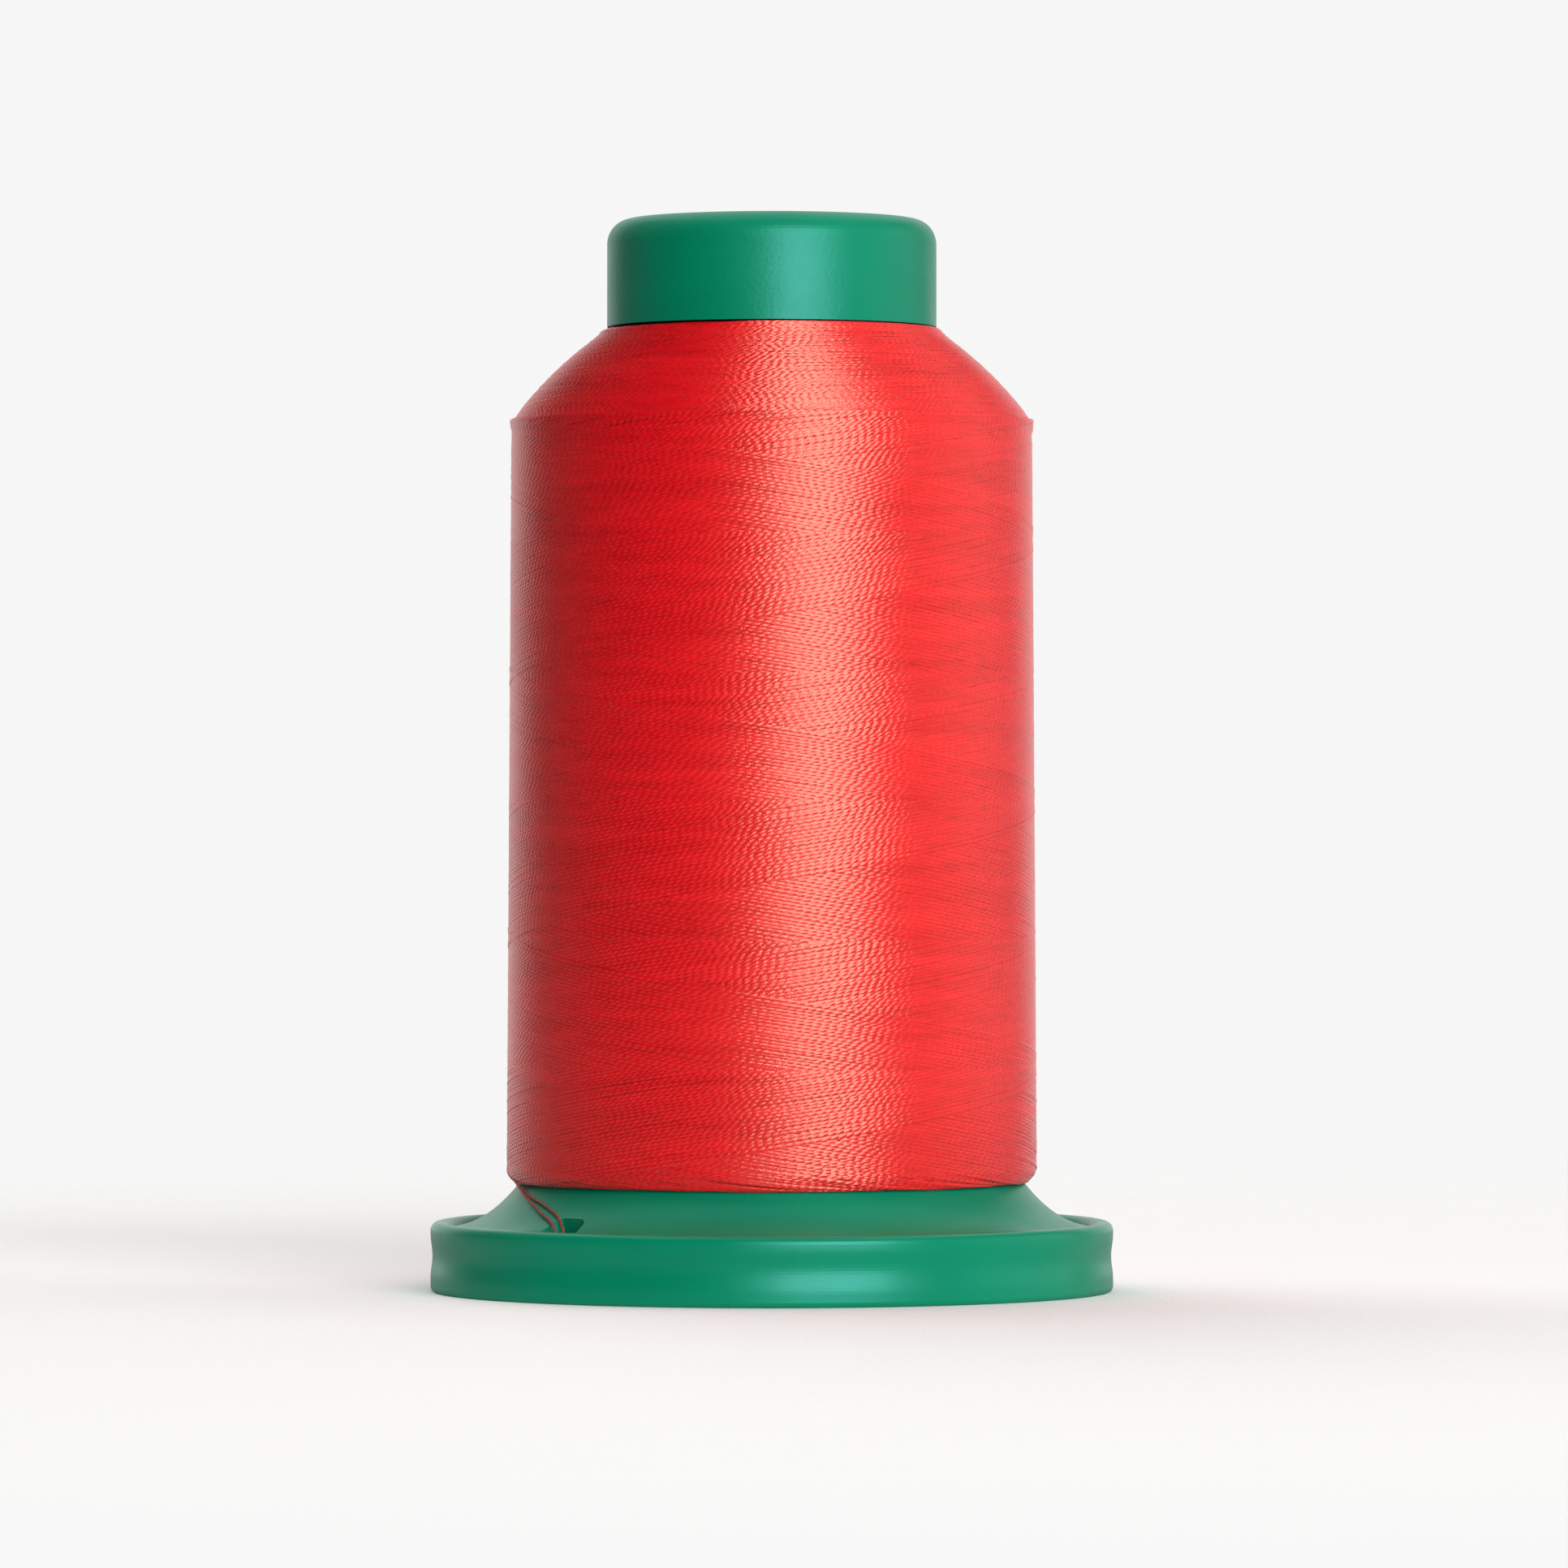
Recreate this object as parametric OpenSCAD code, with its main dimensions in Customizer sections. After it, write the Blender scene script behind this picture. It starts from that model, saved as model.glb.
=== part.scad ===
// Snap-base spool of machine embroidery thread, standing on its foot.
// The origin is the centre of the foot, +Z is up along the spool's axis, and -Y is the front.
// A moulded core carries the wound thread. A snap-on base slides down by a few
// millimetres and opens a ring-shaped gap, where the thread's ends are locked.

/* [Overall] */
// Height from the floor to the top of the head
total_h = 81.6; // [76:0.2:86]
// Diameter of the through bore for the spool pin
pin_bore_d = 10; // [8:0.5:11]

/* [Snap base] */
// Diameter across the rim
rim_d = 52; // [51:0.5:54]
// Height of the rim
rim_h = 5.3; // [5.2:0.1:5.6]
// Wall of the rim at its lip
rim_wall = 1.4; // [1.2:0.1:1.4]
// Radius of the rounded lip
lip_r = 0.65; // [0.4:0.05:0.65]
// Thickness of the floor plate
plate_t = 1.4; // [1:0.1:1.4]
// Height of the plate's underside above the floor
plate_lift = 0.8; // [0.6:0.1:0.8]
// How far the core lifts off the base
snap_travel = 3; // [2:0.5:3.5]
// Number of snap fingers
finger_count = 6; // [4:2:8]

/* [Core] */
// Outer diameter of the winding tube
tube_d = 24; // [23:0.5:24]
// Wall of the winding tube
tube_wall = 1.2; // [1:0.1:1.4]
// Diameter of the head
head_d = 25.1; // [24.6:0.1:27]
// Height of the head above the thread
head_h = 8.2; // [6:0.1:10]
// Height of the seat under the thread
seat_z = 8.3; // [8:0.1:8.6]
// Thickness of the cove, measured upright
cove_t = 1.3; // [1:0.1:1.4]
// Length of the pin guide below the head
guide_len = 20; // [12:1:30]

/* [Tail notch] */
// Angle of the notch, from the front towards -X
notch_angle = 44; // [42:1:46]
// Width of the notch at the edge of the cove
notch_mouth = 5.2; // [5:0.1:6]
// Width of the notch at its inner end
notch_root = 3.2; // [3:0.1:4]

/* [Thread] */
// Diameter of the wound thread at the bottom
package_d = 40.3; // [39.4:0.1:40.3]
// Loss of diameter from the bottom to the shoulder
package_taper = 0.7; // [0:0.1:1]
// Height of the sloping shoulder
shoulder_h = 7.2; // [6:0.1:10]
// Diameter of one strand
strand_d = 0.3; // [0.25:0.01:0.3]

/* [Hidden] */
$fn = 96;

GREEN = [0.02, 0.50, 0.35];
CORAL = [0.90, 0.15, 0.15];
PAPER = [0.93, 0.93, 0.90];

// Snap base
rim_r = rim_d / 2;
rim_in_r = rim_r - rim_wall;
foot_in_r = rim_in_r - 0.2;
foot_round = 0.4;
waist = 0.15;
waist_bottom = 1;
waist_top = 4.4;
waist_steps = 14;
plate_top = plate_lift + plate_t;
nip_r = rim_in_r - 1.6;
nip_z = plate_top + 0.8;
pin_r = pin_bore_d / 2;
sleeve_wall = 1.2;
base_sleeve_top = 9;

// Core
tube_r = tube_d / 2;
tube_in_r = tube_r - tube_wall;
ledge_r = tube_in_r - 0.8;
ledge_top = 10.3;
rest_gap = 0.05;
tube_bottom = plate_top + rest_gap;
head_r = head_d / 2;
head_bottom = total_h - head_h;
head_round_r = 1.8;
head_round_h = 1.9;
head_in_r = 10;
recess_floor = total_h - 4;
recess_floor_t = 1.4;
guide_bottom = recess_floor - guide_len;
web_count = 6;
web_t = 1.2;
key_w = 1.6;
key_depth = 1.1;

// Snap fingers, which hook over the ledge inside the tube
running_gap = 0.3;
finger_r = ledge_r - running_gap;
finger_t = 1.1;
hook_r = tube_in_r - running_gap;
hook_z = ledge_top + snap_travel + 0.2;
finger_top = hook_z + 2.1;
slot_w = 2.4;

// Cove: a hollow curve from the seat's edge down to the rim
seat_r = 19.2;
cove_r = rim_in_r - 0.4;
cove_edge_z = rim_h - 0.45;
cove_pull = [seat_r + 2.3, seat_z - 3];
cove_steps = 20;

// Notch in the edge of the cove
notch_root_r = 21.3;
notch_corner_r = 0.8;

// Wound thread
package_r = package_d / 2;
package_top_r = package_r - package_taper / 2;
edge_round = 1.2;
shoulder_z = head_bottom - shoulder_h;
shoulder_pull = [package_top_r - 2.9, head_bottom - 3.2];
shoulder_steps = 14;

// Label
label_in_r = 12.5;
label_out_r = 22.5;
label_t = 0.12;

// Routes of the two loose ends: angle from the front towards -X in degrees, radius, height.
// Each crosses the cove, dips through the notch and lies along the underside of the cove.
finish_route = [
    [98, 20.36, 9.90], [94, 20.36, 9.60], [90, 20.34, 9.25], [86, 20.28, 8.90],
    [82, 20.18, 8.55], [78, 20.10, 8.15], [74, 20.10, 7.75], [70, 20.20, 7.40],
    [64, 20.50, 7.10], [58, 20.95, 6.70], [53, 21.45, 6.30], [49, 22.00, 5.95], [46, 22.60, 5.45],
    [43.5, 23.10, 4.60], [41, 23.40, 3.70], [38, 23.55, 3.40], [34, 23.60, 3.40],
    [26, 23.60, 3.40], [16, 23.60, 3.40], [6, 23.60, 3.40], [-6, 23.60, 3.40], [-18, 23.60, 3.40],
];
start_route = [
    [77, 19.55, 8.20], [74, 19.65, 8.05], [69, 19.90, 7.80], [63, 20.20, 7.45],
    [57, 20.55, 7.10], [52, 21.00, 6.70], [48, 21.55, 6.30], [45.5, 21.95, 5.60],
    [43.5, 22.30, 4.60], [41.5, 22.45, 3.80], [38, 22.50, 3.55], [33, 22.50, 3.55],
    [24, 22.50, 3.55], [12, 22.50, 3.55], [0, 22.50, 3.55], [-12, 22.50, 3.55], [-24, 22.50, 3.55],
];
rings_per_span = 2;
strand_sides = 8;

// Point at t on the curve that leaves a towards b and reaches c
function bend(a, b, c, t) = a * (1 - t) ^ 2 + b * 2 * t * (1 - t) + c * t ^ 2;

// Points of a quarter ellipse about centre, from angle from to angle to
function arc(centre, rx, ry, from, to, steps = 6) =
    [for (i = [0 : steps]) centre + [rx * cos(from + (to - from) * i / steps),
                                     ry * sin(from + (to - from) * i / steps)]];

// Upper line of the cove, from the seat's edge outwards
cove_line = [for (i = [0 : cove_steps])
    bend([seat_r, seat_z], cove_pull, [cove_r, cove_edge_z], i / cove_steps)];

// Outer side of the rim, which is slightly hollow between its foot and its lip
waist_line = [for (i = [0 : waist_steps])
    [rim_r - waist * (1 - cos(360 * i / waist_steps)) / 2,
     waist_bottom + (waist_top - waist_bottom) * i / waist_steps]];

function reversed(list) = [for (i = [len(list) - 1 : -1 : 0]) list[i]];

// Smooth curve through a route's points, in the same angle, radius and height
function spline(p, i, t) =
    let (a = p[max(i - 1, 0)], b = p[i], c = p[i + 1], d = p[min(i + 2, len(p) - 1)])
    0.5 * (2 * b + (c - a) * t + (2 * a - 5 * b + 4 * c - d) * t ^ 2 + (3 * b - a - 3 * c + d) * t ^ 3);
function placed(q) = [-q[1] * sin(q[0]), -q[1] * cos(q[0]), q[2]];
function smooth_path(p) = concat(
    [for (i = [0 : len(p) - 2], j = [0 : rings_per_span - 1]) placed(spline(p, i, j / rings_per_span))],
    [placed(p[len(p) - 1])]);

// Ring of points round a path at index i
function ring_at(path, i, r) =
    let (ahead = path[min(i + 1, len(path) - 1)] - path[max(i - 1, 0)],
         along = ahead / norm(ahead),
         across = cross(along, [0, 0, 1]) / norm(cross(along, [0, 0, 1])),
         up = cross(across, along))
    [for (k = [0 : strand_sides - 1])
        path[i] + r * (across * cos(k * 360 / strand_sides) + up * sin(k * 360 / strand_sides))];

// A strand swept along a route
module strand(route) {
    path = smooth_path(route);
    n = strand_sides;
    last = len(path) - 1;
    points = [for (i = [0 : last], q = ring_at(path, i, strand_d / 2)) q];
    walls = [for (i = [0 : last - 1], k = [0 : n - 1])
        [i * n + k, i * n + (k + 1) % n, (i + 1) * n + (k + 1) % n, (i + 1) * n + k]];
    near_cap = [for (k = [n - 1 : -1 : 0]) k];
    far_cap = [for (k = [0 : n - 1]) last * n + k];
    polyhedron(points, concat([near_cap], walls, [far_cap]));
}

// Foot, rounded rim, floor plate, nip ledge and pin sleeve, as one turned section
module base_shell() {
    rotate_extrude()
        polygon(concat(
            [[pin_r, plate_lift], [foot_in_r, plate_lift], [foot_in_r, 0.2], [foot_in_r + 0.2, 0]],
            arc([rim_r - foot_round, foot_round], foot_round, foot_round, -90, 0),
            waist_line,
            arc([rim_r - lip_r, rim_h - lip_r], lip_r, lip_r, 0, 90, 8),
            arc([rim_in_r + lip_r, rim_h - lip_r], lip_r, lip_r, 90, 180, 8),
            [[rim_in_r, nip_z], [nip_r, nip_z], [nip_r - 0.3, plate_top]],
            [[pin_r + sleeve_wall, plate_top], [pin_r + sleeve_wall, base_sleeve_top]],
            [[pin_r, base_sleeve_top]]));
}

// Ring of hooked fingers, before it is slotted
module finger_ring() {
    rotate_extrude()
        polygon([
            [finger_r - finger_t, plate_top - 0.2], [finger_r, plate_top - 0.2],
            [finger_r, hook_z], [hook_r, hook_z], [hook_r, hook_z + 0.6],
            [finger_r - 0.2, finger_top], [finger_r - finger_t, finger_top]]);
}

// Slots between the fingers, down to the floor plate
module finger_slots() {
    for (i = [0 : finger_count - 1])
        rotate([0, 0, i * 360 / finger_count])
            translate([finger_r - finger_t - 1, -slot_w / 2, plate_top])
                cube([finger_t + 3, slot_w, finger_top]);
}

// Windows through the plate below each hook, which free the hooks from the mould
module hook_windows() {
    for (i = [0 : finger_count - 1])
        rotate([0, 0, (i + 0.5) * 360 / finger_count])
            translate([finger_r + 0.05, -2, -1])
                cube([hook_r - finger_r + 0.2, 4, plate_top + 2]);
}

module snap_base() {
    color(GREEN)
        union() {
            difference() {
                base_shell();
                hook_windows();
            }
            difference() {
                finger_ring();
                finger_slots();
            }
        }
}

// Blank paper ring stuck under the floor plate
module shade_label() {
    color(PAPER)
        translate([0, 0, plate_lift - label_t])
            difference() {
                cylinder(h = label_t, r = label_out_r);
                translate([0, 0, -1])
                    cylinder(h = label_t + 2, r = label_in_r);
            }
}

// Winding tube, head, pin guide, ledge and cove, as one turned section
module core_shell() {
    cove_underside = [for (q = reversed(cove_line)) q - [0, cove_t]];
    rotate_extrude()
        polygon(concat(
            [[ledge_r, tube_bottom + 0.5], [ledge_r + 0.5, tube_bottom], [tube_r, tube_bottom]],
            [[tube_r, seat_z - cove_t]],
            reversed(cove_underside),
            reversed(cove_line),
            [[tube_r, seat_z], [tube_r, head_bottom], [head_r, head_bottom]],
            arc([head_r - head_round_r, total_h - head_round_h], head_round_r, head_round_h, 0, 90, 12),
            [[head_in_r + 0.4, total_h], [head_in_r, total_h - 0.4]],
            [[head_in_r, recess_floor], [pin_r, recess_floor]],
            [[pin_r, guide_bottom], [pin_r + sleeve_wall, guide_bottom]],
            [[pin_r + sleeve_wall, recess_floor - recess_floor_t]],
            [[tube_in_r, recess_floor - recess_floor_t]],
            [[tube_in_r, ledge_top], [ledge_r, ledge_top]]));
}

// Radial webs that carry the pin guide
module guide_webs() {
    web_bottom = guide_bottom + 4;
    for (i = [0 : web_count - 1])
        rotate([0, 0, i * 360 / web_count])
            translate([pin_r + sleeve_wall / 2, -web_t / 2, web_bottom])
                cube([tube_in_r - pin_r, web_t, recess_floor - web_bottom - 0.5]);
}

// Two keys that run between the fingers and stop the core turning on the base
module turn_keys() {
    for (side = [0, 180])
        rotate([0, 0, side])
            translate([ledge_r - key_depth, -key_w / 2, tube_bottom + 0.5])
                cube([key_depth + 0.5, key_w, ledge_top - tube_bottom - 0.5]);
}

// Cutter for the tail notch: a tapered slot with round inner corners
module notch_cutter() {
    corner_y = notch_root / 2 - notch_corner_r;
    rotate([0, 0, -90 - notch_angle])
        translate([0, 0, 1])
            linear_extrude(height = seat_z)
                union() {
                    polygon([
                        [notch_root_r + notch_corner_r, -notch_root / 2], [cove_r + 1, -notch_mouth / 2],
                        [cove_r + 1, notch_mouth / 2], [notch_root_r + notch_corner_r, notch_root / 2]]);
                    for (side = [-1, 1])
                        translate([notch_root_r + notch_corner_r, side * corner_y])
                            circle(r = notch_corner_r, $fn = 32);
                    translate([notch_root_r, -corner_y])
                        square([2 * notch_corner_r, 2 * corner_y]);
                }
}

module spool_core() {
    color(GREEN)
        difference() {
            union() {
                core_shell();
                guide_webs();
                turn_keys();
            }
            notch_cutter();
        }
}

// The wound thread as one solid: nearly straight sides, a sloping shoulder, a rounded lower edge
module thread_package() {
    color(CORAL)
        rotate_extrude()
            polygon(concat(
                [[tube_r, seat_z]],
                arc([package_r - edge_round, seat_z + edge_round], edge_round, edge_round, -90, 0),
                [for (i = [0 : shoulder_steps])
                    bend([package_top_r, shoulder_z], shoulder_pull, [head_r, head_bottom - 0.2],
                         i / shoulder_steps)],
                [[head_r, head_bottom], [tube_r, head_bottom]]));
}

// The thread's outer end, from the wound thread to the notch
module finish_tail() {
    color(CORAL)
        strand(finish_route);
}

// The thread's inner end, from under the wound thread to the notch
module start_tail() {
    color(CORAL)
        strand(start_route);
}

snap_base();
shade_label();
spool_core();
thread_package();
finish_tail();
start_tail();
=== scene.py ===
"""Looks for the spool of thread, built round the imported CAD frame. Metres, +Z up, -Y front."""
import math

import bpy
import numpy as np
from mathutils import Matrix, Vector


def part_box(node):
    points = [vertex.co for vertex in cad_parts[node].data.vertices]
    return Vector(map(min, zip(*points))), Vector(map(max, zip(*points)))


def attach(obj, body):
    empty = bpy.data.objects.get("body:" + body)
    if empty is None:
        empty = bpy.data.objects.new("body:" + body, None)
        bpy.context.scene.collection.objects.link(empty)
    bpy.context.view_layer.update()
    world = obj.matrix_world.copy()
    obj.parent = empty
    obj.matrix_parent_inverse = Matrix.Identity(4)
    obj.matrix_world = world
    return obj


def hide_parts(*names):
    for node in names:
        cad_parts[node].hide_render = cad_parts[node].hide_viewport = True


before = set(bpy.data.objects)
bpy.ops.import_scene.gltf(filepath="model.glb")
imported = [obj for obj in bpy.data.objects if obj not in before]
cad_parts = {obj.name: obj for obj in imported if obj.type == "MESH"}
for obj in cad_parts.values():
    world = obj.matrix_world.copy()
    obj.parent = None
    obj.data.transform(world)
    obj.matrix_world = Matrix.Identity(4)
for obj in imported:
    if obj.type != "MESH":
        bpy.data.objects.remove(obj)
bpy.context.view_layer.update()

MM = 0.001

# ---------------------------------------------------------------- sizes from the frame
PACKAGE_LOW, PACKAGE_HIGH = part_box("thread_package")
SEAT_Z, HEAD_Z = PACKAGE_LOW.z, PACKAGE_HIGH.z
PACKAGE_R = PACKAGE_HIGH.x
HEAD_R = 12.55 * MM              # radius of the head, where the shoulder ends
TUBE_R = 12.0 * MM               # winding tube under the thread
EDGE_ROUND = 1.2 * MM            # rounded lower edge of the wound thread
SHOULDER_H = 7.2 * MM
SHOULDER_PULL = (2.9 * MM, 3.2 * MM)         # the shoulder curve's bend, in from the side and below the head
PACKAGE_TAPER = 0.35 * MM        # loss of radius from the lower edge to the shoulder

# ---------------------------------------------------------------- thread
STRAND_W = 0.27 * MM             # width of a flattened strand in the package
STRAND_T = 0.15 * MM             # its thickness
STRAND_OVERLAP = 1.35            # how much wider it is meshed, so that no gap opens beside it
STRAND_REST = 0.36               # share of its thickness by which its middle lies over its bed
STRAND_GAP = 0.262 * MM          # height between neighbouring strands of one layer
PITCH = 20.0 * MM                # rise for each turn
CYCLES = round(PITCH / STRAND_GAP)   # journeys up and down that cover the package once
LAYER_RISE = 0.13 * MM           # build of the package's radius for each pass
TURN_BACK = 5.0 * MM             # how far along the strand a reversal is bent
LAST_UP_Z = 32.1 * MM            # height at the front of the last strand laid going up
SHOULDER_LEVEL = 0.60 * MM       # height of the shoulder's strands in the height map
TILE_TILT = 0.04                 # each turning point leans over the one before it
LOW_RELIEF, HIGH_RELIEF = 0.45, 0.12 * MM    # how the finished layers' heights are pressed flat
SHOULDER_RELIEF = 1.8            # relief of the shoulder against that of the cylinder
END_SINK = 0.045 * MM            # how far a strand's ends go under the others
SKIN_SINK = 0.09 * MM            # depth of the closed body under the strands
TAIL_D = 0.3 * MM
PLY_TWIST = 1.1 * MM             # length of a full turn of the tails' two plies

# Routes of the loose ends, close to the CAD model's but nearer the thread that the finish end leaves:
# angle from the front towards -X, radius and height in mm
FINISH_ROUTE = [
    (98, 20.10, 9.90), (94, 20.12, 9.60), (90, 20.10, 9.25), (86, 20.05, 8.95),
    (82, 19.95, 8.70), (78, 19.90, 8.50), (74, 19.95, 8.20), (70, 20.10, 7.85), (64, 20.45, 7.35),
    (58, 20.95, 6.85), (53, 21.45, 6.30), (49, 22.00, 5.95), (46, 22.60, 5.45),
    (43.5, 23.10, 4.60), (41, 23.40, 3.70), (38, 23.55, 3.40), (34, 23.60, 3.40),
    (26, 23.60, 3.40), (16, 23.60, 3.40), (6, 23.60, 3.40), (-6, 23.60, 3.40), (-18, 23.60, 3.40),
]
START_ROUTE = [
    (77, 19.55, 8.20), (74, 19.65, 8.05), (69, 19.90, 7.80), (63, 20.20, 7.45),
    (57, 20.55, 7.10), (52, 21.00, 6.70), (48, 21.55, 6.30), (45.5, 21.95, 5.60),
    (43.5, 22.30, 4.60), (41.5, 22.45, 3.80), (38, 22.50, 3.55), (33, 22.50, 3.55),
    (24, 22.50, 3.55), (12, 22.50, 3.55), (0, 22.50, 3.55), (-12, 22.50, 3.55), (-24, 22.50, 3.55),
]


# ---------------------------------------------------------------- camera
CAMERA_DISTANCE = 0.717
CAMERA_HEIGHT = 0.0365
CAMERA_LENS = 216.0


def make_camera():
    """A level camera in front of the spool, a little above the middle of its height."""
    data = bpy.data.cameras.new("camera")
    data.lens = CAMERA_LENS
    data.sensor_width = 36.0
    data.shift_x = 0.0078
    data.shift_y = 0.0176
    data.clip_start = 0.01
    data.clip_end = 50.0
    camera = bpy.data.objects.new("camera", data)
    camera.location = (0.0, -CAMERA_DISTANCE, CAMERA_HEIGHT)
    camera.rotation_euler = (math.radians(90), 0.0, 0.0)
    bpy.context.scene.collection.objects.link(camera)
    bpy.context.scene.camera = camera


# ---------------------------------------------------------------- material helpers
def new_material(name):
    material = bpy.data.materials.new(name)
    material.use_nodes = True
    tree = material.node_tree
    return material, tree, tree.nodes["Principled BSDF"]


def node(tree, kind, **values):
    """A node with its inputs set by name and its properties by attribute."""
    made = tree.nodes.new(kind)
    for key, value in values.items():
        if key in made.inputs:
            made.inputs[key].default_value = value
        else:
            setattr(made, key, value)
    return made


def noise(tree, vector, scale, detail=3.0, roughness=0.5):
    made = node(tree, "ShaderNodeTexNoise", Scale=scale, Detail=detail, Roughness=roughness)
    tree.links.new(vector, made.inputs["Vector"])
    return made.outputs["Fac"]


def stretched(tree, source, scale):
    """The coordinates multiplied by scale on each axis."""
    made = node(tree, "ShaderNodeMapping")
    made.inputs["Scale"].default_value = scale
    tree.links.new(source, made.inputs["Vector"])
    return made.outputs["Vector"]


def ramp(tree, fac, stops):
    """A colour ramp with stops of (position, colour)."""
    made = tree.nodes.new("ShaderNodeValToRGB")
    elements = made.color_ramp.elements
    while len(elements) < len(stops):
        elements.new(0.5)
    for element, (place, colour) in zip(elements, stops):
        element.position = place
        element.color = (*colour, 1.0)
    tree.links.new(fac, made.inputs["Fac"])
    return made.outputs["Color"]


def span(tree, fac, low, high):
    """fac from 0 to 1 mapped to low to high."""
    made = node(tree, "ShaderNodeMapRange")
    made.inputs["To Min"].default_value = low
    made.inputs["To Max"].default_value = high
    tree.links.new(fac, made.inputs["Value"])
    return made.outputs["Result"]


def smooth_step(tree, source, start, end, low=0.0, high=1.0):
    """low where source is below start, high where it is above end, and a smooth change between."""
    made = node(tree, "ShaderNodeMapRange", interpolation_type="SMOOTHSTEP")
    for socket, value in (("From Min", start), ("From Max", end), ("To Min", low), ("To Max", high)):
        made.inputs[socket].default_value = value
    tree.links.new(source, made.inputs["Value"])
    return made.outputs["Result"]


def mix_shaders(tree, share, first, second):
    """first where share is 0, second where it is 1."""
    made = tree.nodes.new("ShaderNodeMixShader")
    tree.links.new(share, made.inputs[0])
    tree.links.new(first, made.inputs[1])
    tree.links.new(second, made.inputs[2])
    return made.outputs[0]


def bump(tree, height, strength, distance, normal=None):
    made = node(tree, "ShaderNodeBump", Strength=strength, Distance=distance)
    tree.links.new(height, made.inputs["Height"])
    if normal is not None:
        tree.links.new(normal, made.inputs["Normal"])
    return made.outputs["Normal"]


# ---------------------------------------------------------------- materials
FIBRE_SHARE = 0.68                # how far the thread's normals turn level
FINE_BUMP = 0.03 * MM
MIX_FACTOR, MIX_COLOUR_A, MIX_COLOUR_B, MIX_COLOUR = 0, 6, 7, 2      # sockets of a colour Mix node
MIX_VECTOR_A, MIX_VECTOR_B, MIX_VECTOR = 4, 5, 1                     # sockets of a vector Mix node


def thread_material(name, deep, light, rough_low, rough_high, ply_depth):
    """Bright trilobal polyester: coral red, a broad tinted gloss, ply twist along the strand."""
    material, tree, shader = new_material(name)
    place = tree.nodes.new("ShaderNodeTexCoord").outputs["Object"]
    streaks = noise(tree, stretched(tree, place, (60, 60, 900)), 1.0, 4.0, 0.6)
    dashes = noise(tree, stretched(tree, place, (700, 700, 3800)), 1.0, 2.0, 0.6)
    shade = ramp(tree, dashes, [(0.30, (0.84, 0.84, 0.84)), (0.56, (1.0, 1.0, 1.0))])
    dyed = node(tree, "ShaderNodeMix", data_type="RGBA", blend_type="MULTIPLY")
    dyed.inputs[MIX_FACTOR].default_value = 1.0
    tree.links.new(ramp(tree, streaks, [(0.3, deep), (0.7, light)]), dyed.inputs[MIX_COLOUR_A])
    tree.links.new(shade, dyed.inputs[MIX_COLOUR_B])
    tree.links.new(dyed.outputs[MIX_COLOUR], shader.inputs["Base Color"])
    strand = node(tree, "ShaderNodeUVMap", uv_map="strand").outputs["UV"]
    ply = node(tree, "ShaderNodeTexWave", Scale=1.0, wave_type="BANDS", bands_direction="DIAGONAL",
               Distortion=2.0, Detail=1.0)
    ply.inputs["Detail Scale"].default_value = 0.6
    tree.links.new(stretched(tree, strand, (1.0, 4 * math.pi / 10, 1.0)), ply.inputs["Vector"])
    grains = noise(tree, place, 6500.0, 2.0, 0.6)
    grained = bump(tree, grains, 0.6, FINE_BUMP, fibre_normal(tree, place, FIBRE_SHARE))
    tree.links.new(bump(tree, ply.outputs["Fac"], ply_depth, FINE_BUMP, grained), shader.inputs["Normal"])
    tree.links.new(span(tree, streaks, rough_low, rough_high), shader.inputs["Roughness"])
    shader.inputs["IOR"].default_value = 1.75
    shader.inputs["Specular Tint"].default_value = (1.0, 0.76, 0.56, 1.0)
    shader.inputs["Sheen Weight"].default_value = 0.27
    shader.inputs["Sheen Roughness"].default_value = 0.22
    shader.inputs["Sheen Tint"].default_value = (1.0, 0.25, 0.24, 1.0)
    return material


def fibre_normal(tree, place, share):
    """The normal turned part of the way to face straight out from the spool's axis.

    Round fibres show a side that faces out level even where the wound surface slopes.
    """
    level = node(tree, "ShaderNodeVectorMath", operation="MULTIPLY")
    level.inputs[1].default_value = (1.0, 1.0, 0.0)
    tree.links.new(place, level.inputs[0])
    outward = node(tree, "ShaderNodeVectorMath", operation="NORMALIZE")
    tree.links.new(level.outputs[0], outward.inputs[0])
    turned = node(tree, "ShaderNodeVectorTransform", vector_type="NORMAL",
                  convert_from="OBJECT", convert_to="WORLD")
    tree.links.new(outward.outputs[0], turned.inputs[0])
    normal = tree.nodes.new("ShaderNodeNewGeometry").outputs["Normal"]
    mixed = node(tree, "ShaderNodeMix", data_type="VECTOR")
    mixed.inputs[MIX_FACTOR].default_value = share
    tree.links.new(normal, mixed.inputs[MIX_VECTOR_A])
    tree.links.new(turned.outputs[0], mixed.inputs[MIX_VECTOR_B])
    made = node(tree, "ShaderNodeVectorMath", operation="NORMALIZE")
    tree.links.new(mixed.outputs[MIX_VECTOR], made.inputs[0])
    return made.outputs[0]


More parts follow.
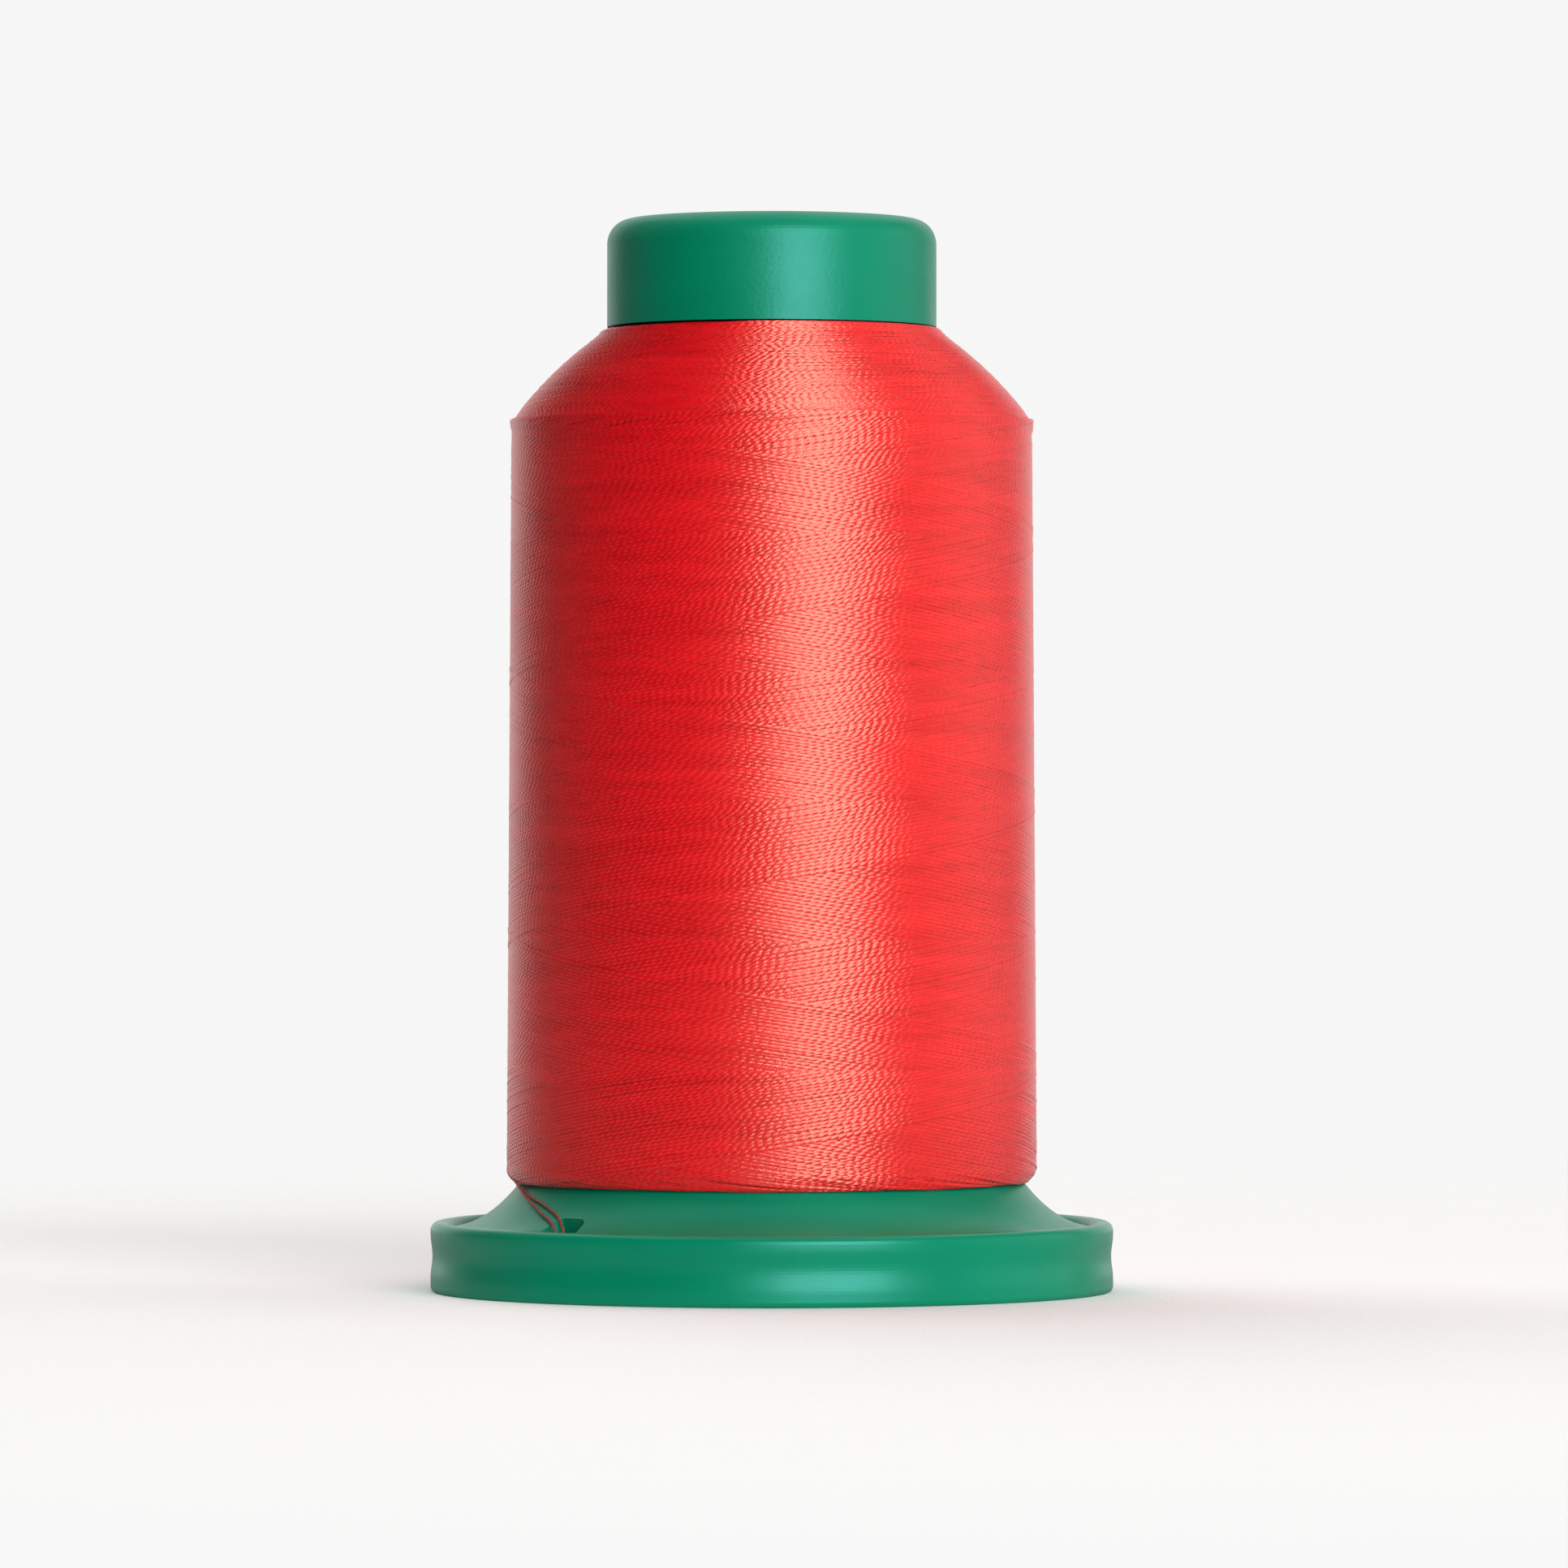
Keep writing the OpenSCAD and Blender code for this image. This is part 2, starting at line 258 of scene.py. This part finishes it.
def plastic_material(name, grain, rough_low, rough_high):
    """Green moulded polypropylene, with a fine mould grain, faint flow marks and rubbed spots."""
    material, tree, shader = new_material(name)
    place = tree.nodes.new("ShaderNodeTexCoord").outputs["Object"]
    flow = noise(tree, stretched(tree, place, (70, 70, 180)), 1.0, 5.0, 0.55)
    colours = [(0.3, (0.0, 0.155, 0.077)), (0.7, (0.0, 0.182, 0.089))]
    tree.links.new(ramp(tree, flow, colours), shader.inputs["Base Color"])
    rubbed = noise(tree, place, 260.0, 6.0, 0.62)
    tree.links.new(span(tree, rubbed, rough_low, rough_high), shader.inputs["Roughness"])
    fine = noise(tree, place, 2800.0, 2.0, 0.5)
    coarse = noise(tree, place, 900.0, 3.0, 0.5)
    grained = bump(tree, fine, grain, FINE_BUMP)
    tree.links.new(bump(tree, coarse, grain * 0.35, 0.04 * MM, grained), shader.inputs["Normal"])
    shader.inputs["IOR"].default_value = 1.49
    shader.inputs["Specular Tint"].default_value = (0.30, 0.92, 1.0, 1.0)
    return material


def paper_material():
    """Uncoated white label paper with fibres."""
    material, tree, shader = new_material("label_paper")
    place = tree.nodes.new("ShaderNodeTexCoord").outputs["Object"]
    fibres = noise(tree, place, 1500.0, 4.0, 0.6)
    paper = ramp(tree, fibres, [(0.3, (0.78, 0.78, 0.73)), (0.7, (0.88, 0.88, 0.84))])
    tree.links.new(paper, shader.inputs["Base Color"])
    tree.links.new(span(tree, fibres, 0.75, 0.95), shader.inputs["Roughness"])
    tree.links.new(bump(tree, fibres, 0.3, 0.02 * MM), shader.inputs["Normal"])
    return material


# ---------------------------------------------------------------- the wound surface
def package_profile(sink=0.0):
    """Points (r, z) of the wound surface from the seat to the head, sunk below the CAD surface."""
    top_r = PACKAGE_R - PACKAGE_TAPER
    shoulder_z = HEAD_Z - SHOULDER_H
    turn = np.linspace(-math.pi / 2, 0, 13)
    edge = np.stack([PACKAGE_R - EDGE_ROUND + (EDGE_ROUND - sink) * np.cos(turn),
                     SEAT_Z + EDGE_ROUND + (EDGE_ROUND - sink) * np.sin(turn)], 1)
    t = np.linspace(0, 1, 33)[:, None]
    a = np.array([top_r, shoulder_z])
    b = np.array([top_r - SHOULDER_PULL[0], HEAD_Z - SHOULDER_PULL[1]])
    c = np.array([HEAD_R, HEAD_Z - 0.2 * MM])
    bend = a * (1 - t) ** 2 + b * 2 * t * (1 - t) + c * t ** 2
    slope = 2 * (b - a) * (1 - t) + 2 * (c - b) * t
    outward = np.stack([slope[:, 1], -slope[:, 0]], 1) / np.linalg.norm(slope, axis=1)[:, None]
    return np.concatenate([edge, bend - outward * sink])


def arc_length(line):
    return np.concatenate([[0.0], np.cumsum(np.linalg.norm(np.diff(line, axis=0), axis=1))])


PROFILE = package_profile()
PROFILE_S = arc_length(PROFILE)
FINE_S = np.linspace(0, PROFILE_S[-1], 1600)
FINE_R = np.interp(FINE_S, PROFILE_S, PROFILE[:, 0])
FINE_Z = np.interp(FINE_S, PROFILE_S, PROFILE[:, 1])
SMOOTHING = np.ones(25) / 25


def eased(values):
    """values with their corners softened."""
    padded = np.concatenate([np.full(12, values[0]), values, np.full(12, values[-1])])
    return np.convolve(padded, SMOOTHING, mode="valid")


_dr, _dz = eased(np.gradient(FINE_R)), eased(np.gradient(FINE_Z))
_size = np.hypot(_dr, _dz)
NORMAL_R, NORMAL_Z = _dz / _size, -_dr / _size
S_SHOULDER = float(np.interp(HEAD_Z - SHOULDER_H, FINE_Z, FINE_S))
S_TOP = float(PROFILE_S[-1])


def on_surface(theta, s, height):
    """Points at angle theta from the front towards +X, s along the profile, height above it."""
    r = np.interp(s, FINE_S, FINE_R) + height * np.interp(s, FINE_S, NORMAL_R)
    z = np.interp(s, FINE_S, FINE_Z) + height * np.interp(s, FINE_S, NORMAL_Z)
    return np.stack([r * np.sin(theta), -r * np.cos(theta), z], -1)


# ---------------------------------------------------------------- laying the thread
COLUMNS = 720                                          # steps round one turn
STEP = 2 * math.pi / COLUMNS
ROW = 0.045 * MM                                       # height of a row of the height map
ROWS = int(S_TOP / ROW) + 8
HALF_ROWS = int(round(STRAND_W / 2 / ROW))
BED_ROWS = 1                                           # a strand rests on its middle


def box_filter(values, half, use_max):
    """Running maximum or mean over 2 * half + 1 samples."""
    padded = np.pad(values, half, mode="edge")
    windows = np.lib.stride_tricks.sliding_window_view(padded, 2 * half + 1)
    return windows.max(-1) if use_max else windows.mean(-1)


class Layers:
    """A height map of the wound surface, on which each new strand lies over the earlier ones."""

    def __init__(self):
        self.map = np.zeros((ROWS, COLUMNS))
        self.strands = []

    def lay(self, first_column, s, sink=0.0, height=None):
        """Lays a strand that moves on by one column a step, over the others or at a given height.

        sink lowers its ends under the rest.
        """
        columns = (first_column + np.arange(len(s))) % COLUMNS
        rows = np.clip(np.round(s / ROW).astype(int), HALF_ROWS, ROWS - 1 - HALF_ROWS)
        offsets = np.arange(-HALF_ROWS, HALF_ROWS + 1)
        under = self.map[rows[:, None] + offsets, columns[:, None]]
        if height is None:
            bed = under[:, HALF_ROWS - BED_ROWS:HALF_ROWS + BED_ROWS + 1].mean(1)
            bed = box_filter(box_filter(box_filter(bed, 2, True), 6, False), 5, False)
            centre = bed + STRAND_REST * STRAND_T - sink
        else:
            centre = height
        across = offsets * ROW / (STRAND_W / 2 + ROW / 2)
        crown = STRAND_T / 2 * np.sqrt(np.clip(1 - across ** 2, 0, 1))
        top = centre[:, None] + crown
        self.map[rows[:, None] + offsets, columns[:, None]] = np.maximum(under, top)
        self.strands.append((first_column, s, centre, rows, columns))

    def visible(self, strand, margin):
        """Which steps of a strand show, widened so that its ends go under the others."""
        _, _, centre, rows, columns = strand
        middle = self.map[rows[:, None] + np.arange(-2, 3), columns[:, None]]
        covered = middle - (centre + STRAND_T / 2)[:, None]
        shows = (covered < 0.03 * MM).any(1)
        return box_filter(shows.astype(float), margin, True) > 0.5


def zigzag(distance, half_period, low_rounding, high_rounding):
    """A triangle wave from 0 to half_period and back, with its tips rounded off."""
    phase = np.abs((distance + half_period) % (2 * half_period) - half_period)
    low = np.sqrt(phase ** 2 + low_rounding ** 2)
    high = half_period - np.sqrt((half_period - phase) ** 2 + high_rounding ** 2)
    return np.where(phase < half_period / 2, low, high)


def drift(rng, count, scale, steps):
    """A smooth random line of count steps with a bend about every steps, of the given size."""
    knots = rng.normal(0, scale, count // steps + 4)
    at = np.arange(count) / steps
    i = at.astype(int)
    t = at - i
    t = t * t * (3 - 2 * t)
    return knots[i] * (1 - t) + knots[i + 1] * t


def wind_shoulder(layers, rng):
    """The turning points of the inner layers, which end one below the other on the shoulder."""
    top, bottom = S_TOP - 0.16 * MM, S_SHOULDER + 0.3 * MM
    rings = int((PACKAGE_R - HEAD_R) / (2 * LAYER_RISE))
    loops = rings * CYCLES
    for i in range(loops):
        share = (i + 0.5) / loops
        peak = top - share * (top - bottom) + rng.normal(0, 0.03 * MM)
        peak += 0.05 * MM * math.sin(i * 0.043) + 0.05 * MM * math.sin(i * 0.0171 + 2)
        peak = min(peak, top)
        radius = float(np.interp(peak, FINE_S, FINE_R))
        half = int(rng.uniform(6, 9) * MM / (radius * STEP))
        x = np.arange(-half, half + 1) * radius * STEP
        turn_back = TURN_BACK * rng.uniform(0.8, 1.8)
        drop = PITCH / (2 * math.pi * radius) * (np.sqrt(x ** 2 + turn_back ** 2) - turn_back)
        height = SHOULDER_LEVEL - 0.6 * drop - TILE_TILT * x + rng.normal(0, 0.006 * MM)
        layers.lay(int(COLUMNS * i / CYCLES) - half, peak - drop, height=height)


def wind_package(rng):
    """Lays the shoulder from the head down, then two covers of the cylinder, strand beside strand."""
    layers = Layers()
    wind_shoulder(layers, rng)
    low, high = 0.35 * MM, S_SHOULDER + 0.1 * MM
    rounding = TURN_BACK * PITCH / (2 * math.pi * PACKAGE_R)
    journey = high - low + 2 * rounding
    last_start = -360 * (LAST_UP_Z - SEAT_Z - low + rounding) / PITCH
    lead = int(9 * MM / (PACKAGE_R * STEP))             # how far a cycle's ends run on
    covers = 2 * CYCLES
    steps = int(round(2 * journey / PITCH * COLUMNS)) + 2 * lead
    distance = (np.arange(steps) - lead) * PITCH / COLUMNS
    ends = np.minimum(np.arange(steps), np.arange(steps)[::-1]) * PACKAGE_R * STEP
    sink = np.clip(1 - ends / (lead * PACKAGE_R * STEP), 0, 1) * 0.5 * MM
    for i in range(covers):
        low_rounding = rounding * rng.uniform(1.0, 1.35) + 0.2 * MM * math.sin(i * 0.31) ** 2
        high_rounding = rounding * rng.uniform(1.0, 1.2) + 0.1 * MM * math.sin(i * 0.23 + 1) ** 2
        s = low - rounding + zigzag(distance, journey, low_rounding, high_rounding)
        s = s + drift(rng, steps, 0.022 * MM, 110) * (s > 2 * MM)
        inside = np.clip((s - 2 * MM) / (4 * MM), 0, 1) * np.clip((S_SHOULDER - 1 * MM - s) / (4 * MM), 0, 1)
        s = s + 0.25 * MM * np.sin(2 * math.pi * s / (23 * MM)) * inside
        start = last_start / 360 * COLUMNS + (i + 1 - covers) * COLUMNS / CYCLES + rng.normal(0, 0.35)
        layers.lay(int(round(start)) - lead, s, sink)
    return layers


def strand_rings(theta, s, height):
    """Rings of six points round a flattened strand, and how far along it each one is."""
    centre = on_surface(theta, s, height)
    outer = on_surface(theta, s, height + STRAND_T) - centre
    outer /= np.linalg.norm(outer, axis=1)[:, None]
    ahead = np.gradient(centre, axis=0)
    ahead /= np.linalg.norm(ahead, axis=1)[:, None]
    side = np.cross(ahead, outer)
    side /= np.linalg.norm(side, axis=1)[:, None]
    angles = np.radians([90, 36, -36, -90, -144, 144])
    ring = (centre[:, None]
            + side[:, None] * (STRAND_W / 2 * STRAND_OVERLAP * np.cos(angles))[None, :, None]
            + outer[:, None] * (STRAND_T / 2 * np.sin(angles))[None, :, None])
    along = np.concatenate([[0.0], np.cumsum(np.linalg.norm(np.diff(centre, axis=0), axis=1))])
    return ring, along


def mesh_object(name, points, faces, uvs=None, smooth=True):
    """An object from vertex and face lists, with an optional UV for each face corner."""
    mesh = bpy.data.meshes.new(name)
    mesh.from_pydata(points, [], faces)
    mesh.update()
    if uvs is not None:
        layer = mesh.uv_layers.new(name="strand")
        layer.data.foreach_set("uv", np.asarray(uvs, np.float32).ravel())
    mesh.polygons.foreach_set("use_smooth", [smooth] * len(mesh.polygons))
    made = bpy.data.objects.new(name, mesh)
    bpy.context.scene.collection.objects.link(made)
    return made


class StrandMesh:
    """Gathers closed strands into one mesh."""

    def __init__(self):
        self.points, self.faces, self.uvs, self.count = [], [], [], 0

    def add(self, ring, along):
        """Adds a strand of rings, with two quads to close each end."""
        rings, sides = ring.shape[:2]
        base = self.count + np.arange(rings - 1)[:, None] * sides + np.arange(sides)[None]
        after = self.count + np.arange(rings - 1)[:, None] * sides + (np.arange(sides)[None] + 1) % sides
        quads = np.stack([base, after, after + sides, base + sides], -1).reshape(-1, 4)
        first, last = self.count, self.count + (rings - 1) * sides
        caps = [[first + 3, first + 2, first + 1, first], [first + 5, first + 4, first + 3, first],
                [last, last + 1, last + 2, last + 3], [last, last + 3, last + 4, last + 5]]
        u0 = np.repeat(along[:-1] / MM, sides)
        u1 = np.repeat(along[1:] / MM, sides)
        v0 = np.tile(np.arange(sides) / sides, rings - 1)
        v1 = v0 + 1 / sides
        self.uvs.append(np.stack([u0, v0, u0, v1, u1, v1, u1, v0], -1).reshape(-1, 4, 2))
        self.uvs.append(np.zeros((4, 4, 2)))
        self.points.append(ring.reshape(-1, 3))
        self.faces += [quads, np.array(caps)]
        self.count += rings * sides

    def triangles(self):
        return 2 * sum(len(f) for f in self.faces)

    def build(self, name):
        quads = np.concatenate(self.faces)
        return mesh_object(name, np.concatenate(self.points).tolist(), quads.tolist(),
                           np.concatenate(self.uvs).reshape(-1, 2))


MAX_TRIANGLES = 190_000
RING_EVERY = 6                                         # columns from one ring to the next


def visible_runs(shows):
    """Start and end of each stretch that shows."""
    edges = np.flatnonzero(np.diff(np.concatenate([[0], shows.astype(int), [0]])))
    return list(zip(edges[::2], edges[1::2]))


def surface_level(layers):
    """The mean height of the laid strands at each row, without ripples shorter than a few strands."""
    mean = layers.map.mean(1)
    return box_filter(box_filter(mean, 12, False), 12, False)


def pressed(height):
    """Heights above the mean surface, pressed flat as tight winding does, but in the same order."""
    return LOW_RELIEF * HIGH_RELIEF * np.tanh(height / HIGH_RELIEF)


def strand_objects(layers, material, rng):
    """The strands as closed meshes, lowered so that their mean surface is the CAD surface."""
    level = surface_level(layers)
    rows_s = np.arange(ROWS) * ROW
    made, gathered = [], StrandMesh()
    for strand in layers.strands:
        first, s, centre, _, _ = strand
        for start, end in visible_runs(layers.visible(strand, 2 * RING_EVERY)):
            at = np.unique(np.append(np.arange(start, end, RING_EVERY), end - 1))
            if len(at) < 2:
                continue
            above = pressed(centre[at] - np.interp(s[at], rows_s, level))
            above = above * np.where(s[at] > S_SHOULDER, SHOULDER_RELIEF, 1.0)
            above[[0, -1]] -= END_SINK
            if gathered.triangles() > MAX_TRIANGLES:
                made.append(gathered)
                gathered = StrandMesh()
            ring, along = strand_rings(STEP * (first + at), s[at], above)
            gathered.add(ring, along + rng.uniform(0, 50 * MM))
    made.append(gathered)
    objects = []
    for i, part in enumerate(made):
        piece = part.build(f"thread_winding_{i + 1}")
        piece.data.materials.append(material)
        objects.append(piece)
    return objects


def revolved(name, outline, steps, material):
    """A closed solid turned from a closed outline of (r, z) points."""
    n = len(outline)
    angles = np.arange(steps) * 2 * math.pi / steps
    r, z = outline[:, 0], outline[:, 1]
    points = np.stack([np.outer(np.sin(angles), r), -np.outer(np.cos(angles), r),
                       np.tile(z, (steps, 1))], -1).reshape(-1, 3)
    i, j = np.meshgrid(np.arange(steps), np.arange(n), indexing="ij")
    i2, j2 = (i + 1) % steps, (j + 1) % n
    quads = np.stack([i * n + j, i * n + j2, i2 * n + j2, i2 * n + j], -1).reshape(-1, 4)
    made = mesh_object(name, points.tolist(), quads[:, ::-1].tolist())
    made.data.materials.append(material)
    return made


def make_thread_package(material):
    """The under layers as one closed body, with the outer layers of strands over it."""
    skin = package_profile(sink=SKIN_SINK)
    outline = np.concatenate([[[TUBE_R, SEAT_Z]], skin, [[TUBE_R, HEAD_Z]]])
    core = revolved("thread_under_layers", outline, 256, material)
    rng = np.random.default_rng(40)
    strands = strand_objects(wind_package(rng), material, rng)
    for piece in [core] + strands:
        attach(piece, "spool")
    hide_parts("thread_package")


# ---------------------------------------------------------------- loose ends
def route_path(route, per_span):
    """A smooth curve through a route's points, in metres."""
    p = np.array(route, float)
    out = []
    for i in range(len(p) - 1):
        a, b, c, d = p[max(i - 1, 0)], p[i], p[i + 1], p[min(i + 2, len(p) - 1)]
        for t in np.arange(per_span) / per_span:
            out.append(0.5 * (2 * b + (c - a) * t + (2 * a - 5 * b + 4 * c - d) * t ** 2
                              + (3 * b - a - 3 * c + d) * t ** 3))
    out.append(p[-1])
    q = np.array(out)
    angle = np.radians(q[:, 0])
    return np.stack([-q[:, 1] * np.sin(angle), -q[:, 1] * np.cos(angle), q[:, 2]], 1) * MM


def make_tail(name, node_name, route, material):
    """A two-ply strand along its route, with rounded ends."""
    path = route_path(route, 14)
    ahead = np.gradient(path, axis=0)
    ahead /= np.linalg.norm(ahead, axis=1)[:, None]
    across = np.cross(ahead, [0, 0, 1.0])
    across /= np.linalg.norm(across, axis=1)[:, None]
    up = np.cross(across, ahead)
    along = arc_length(path)
    sides = 12
    twist = 2 * math.pi * along / PLY_TWIST
    angles = np.arange(sides) * 2 * math.pi / sides
    radius = TAIL_D / 2 * (0.62 + 0.14 * np.cos(2 * (angles[None] - twist[:, None])))
    fade = np.ones(len(path))
    fade[0] = fade[-1] = 0.35
    radius = radius * fade[:, None]
    ring = (path[:, None] + across[:, None] * (radius * np.cos(angles))[..., None]
            + up[:, None] * (radius * np.sin(angles))[..., None])
    quads = [[i * sides + k, i * sides + (k + 1) % sides,
              (i + 1) * sides + (k + 1) % sides, (i + 1) * sides + k]
             for i in range(len(path) - 1) for k in range(sides)]
    last = (len(path) - 1) * sides
    caps = [list(range(sides))[::-1], [last + k for k in range(sides)]]
    corners = [(along[v // sides] / MM, (v % sides) / sides) for face in quads + caps for v in face]
    made = mesh_object(name, ring.reshape(-1, 3).tolist(), quads + caps, corners)
    made.data.materials.append(material)
    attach(made, "spool")
    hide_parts(node_name)
    return made


# ---------------------------------------------------------------- stage and light
FLOOR_R = 0.32


def make_floor():
    """A plain pale floor that fades out at its rim.

    To the object's diffuse light it glows near the foot, a painted bounce light, and it is dim further out,
    as under a spool on a white sweep.
    """
    material = bpy.data.materials.new("pale_floor")
    material.use_nodes = True
    tree = material.node_tree
    tree.nodes.clear()
    place = tree.nodes.new("ShaderNodeTexCoord").outputs["Object"]
    away = node(tree, "ShaderNodeVectorMath", operation="LENGTH")
    tree.links.new(place, away.inputs[0])
    away = away.outputs["Value"]
    seen = node(tree, "ShaderNodeBsdfDiffuse", Color=(0.75, 0.745, 0.735, 1.0))
    pile = noise(tree, place, 1400.0, 4.0, 0.65)
    tree.links.new(bump(tree, pile, 0.4, 0.2 * MM), seen.inputs["Normal"])
    dim = node(tree, "ShaderNodeBsdfDiffuse", Color=(0.35, 0.35, 0.35, 1.0))
    # Painted bounce light: an emission that only diffuse rays see, strong near the foot and faint further
    # out.
    bounce = node(tree, "ShaderNodeEmission", Color=(1.0, 0.995, 0.99, 1.0))
    tree.links.new(smooth_step(tree, away, 0.035, 0.090, 0.95, 0.12), bounce.inputs["Strength"])
    clear = tree.nodes.new("ShaderNodeBsdfTransparent")
    path = tree.nodes.new("ShaderNodeLightPath")
    unseen = mix_shaders(tree, path.outputs["Is Diffuse Ray"], dim.outputs[0], bounce.outputs[0])
    by_ray = mix_shaders(tree, path.outputs["Is Camera Ray"], unseen, seen.outputs[0])
    fade = smooth_step(tree, away, 0.10, FLOOR_R - 0.01)
    out = tree.nodes.new("ShaderNodeOutputMaterial")
    tree.links.new(mix_shaders(tree, fade, by_ray, clear.outputs[0]), out.inputs["Surface"])
    turns = np.arange(96) * 2 * math.pi / 96
    rim = [(FLOOR_R * math.cos(t), FLOOR_R * math.sin(t), 0.0) for t in turns]
    floor = mesh_object("floor", rim, [tuple(range(96))], smooth=False)
    floor.data.materials.append(material)


def area_light(name, azimuth, elevation, distance, width, height, power, in_gloss=True):
    """A soft box that faces the middle of the spool. Azimuth 0 is in front, + is to the right."""
    data = bpy.data.lights.new(name, "AREA")
    data.shape = "RECTANGLE"
    data.size, data.size_y = width, height
    data.energy = power
    light = bpy.data.objects.new(name, data)
    a, e = math.radians(azimuth), math.radians(elevation)
    way = np.array([math.sin(a) * math.cos(e), -math.cos(a) * math.cos(e), math.sin(e)])
    light.location = way * distance + np.array([0, 0, 0.04])
    light.rotation_euler = (math.radians(90) - e, 0.0, a)
    light.visible_camera = False
    light.visible_glossy = in_gloss
    bpy.context.scene.collection.objects.link(light)


def make_world():
    """White behind the spool, dim in front of it, white to the camera."""
    world = bpy.data.worlds.new("studio")
    bpy.context.scene.world = world
    world.use_nodes = True
    tree = world.node_tree
    tree.nodes.clear()
    out = tree.nodes.new("ShaderNodeOutputWorld")
    lighting = tree.nodes.new("ShaderNodeBackground")
    seen = node(tree, "ShaderNodeBackground", Color=(0.93, 0.925, 0.925, 1), Strength=1.0)
    way = tree.nodes.new("ShaderNodeTexCoord")
    split = tree.nodes.new("ShaderNodeSeparateXYZ")
    tree.links.new(way.outputs["Generated"], split.inputs[0])
    behind = smooth_step(tree, split.outputs["Y"], 0.58, 0.92, 0.02, 1.25)
    below_top = smooth_step(tree, split.outputs["Z"], 0.45, 0.9, 1.0, 0.0)
    above = smooth_step(tree, split.outputs["Z"], 0.25, 0.80, 0.0, 0.12)
    strength = node(tree, "ShaderNodeMath", operation="MULTIPLY")
    tree.links.new(behind, strength.inputs[0])
    tree.links.new(below_top, strength.inputs[1])
    total = node(tree, "ShaderNodeMath", operation="ADD")
    tree.links.new(strength.outputs["Value"], total.inputs[0])
    tree.links.new(above, total.inputs[1])
    tree.links.new(total.outputs["Value"], lighting.inputs["Strength"])
    path = tree.nodes.new("ShaderNodeLightPath")
    mix = mix_shaders(tree, path.outputs["Is Camera Ray"], lighting.outputs[0], seen.outputs[0])
    tree.links.new(mix, out.inputs["Surface"])


def make_lights():
    """One key from the front right, with softer light from behind, both sides and above."""
    area_light("key_softbox", 20.5, 12, 1.2, 0.85, 1.15, 25.5)
    area_light("top_softbox", 180, 72, 1.1, 1.3, 1.3, 6)
    area_light("right_reflector", 95, 5, 1.2, 1.3, 1.2, 4.0)
    area_light("left_fill", -140, 18, 1.2, 1.6, 1.6, 19.0, in_gloss=False)
    area_light("right_fill", 90, 22, 1.2, 1.6, 1.6, 6.0, in_gloss=False)


# ---------------------------------------------------------------- the object
SHARP_ANGLE = math.radians(28)


def dress_cad_nodes():
    """Materials for the moulded parts and the label, which stay as the CAD made them."""
    core = plastic_material("core_plastic", grain=0.55, rough_low=0.30, rough_high=0.46)
    base = plastic_material("base_plastic", grain=0.18, rough_low=0.22, rough_high=0.40)
    paper = paper_material()
    for name, material in (("spool_core", core), ("snap_base", base), ("shade_label", paper)):
        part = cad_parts[name]
        for slot in part.material_slots:
            slot.material = material
        mesh = part.data
        if "custom_normal" in mesh.attributes:
            mesh.attributes.remove(mesh.attributes["custom_normal"])
        mesh.polygons.foreach_set("use_smooth", [True] * len(mesh.polygons))
        mesh.set_sharp_from_angle(angle=SHARP_ANGLE)


make_camera()
# The tails are the same red thread as the package, painted darker and greyer: painted shade of thin, backlit
# strands.
shaded_tail_thread = thread_material("shaded_tail_thread", (0.32, 0.040, 0.035), (0.42, 0.055, 0.050),
                              rough_low=0.55, rough_high=0.7, ply_depth=0.6)
make_tail("finish_tail_strand", "finish_tail", FINISH_ROUTE, shaded_tail_thread)
make_tail("start_tail_strand", "start_tail", START_ROUTE, shaded_tail_thread)
package_thread = thread_material("package_thread", (0.52, 0.001, 0.006), (0.66, 0.003, 0.009),
                                 rough_low=0.24, rough_high=0.34, ply_depth=0.65)
make_thread_package(package_thread)
dress_cad_nodes()
make_floor()
make_world()
make_lights()
bpy.context.scene.view_settings.view_transform = "Standard"
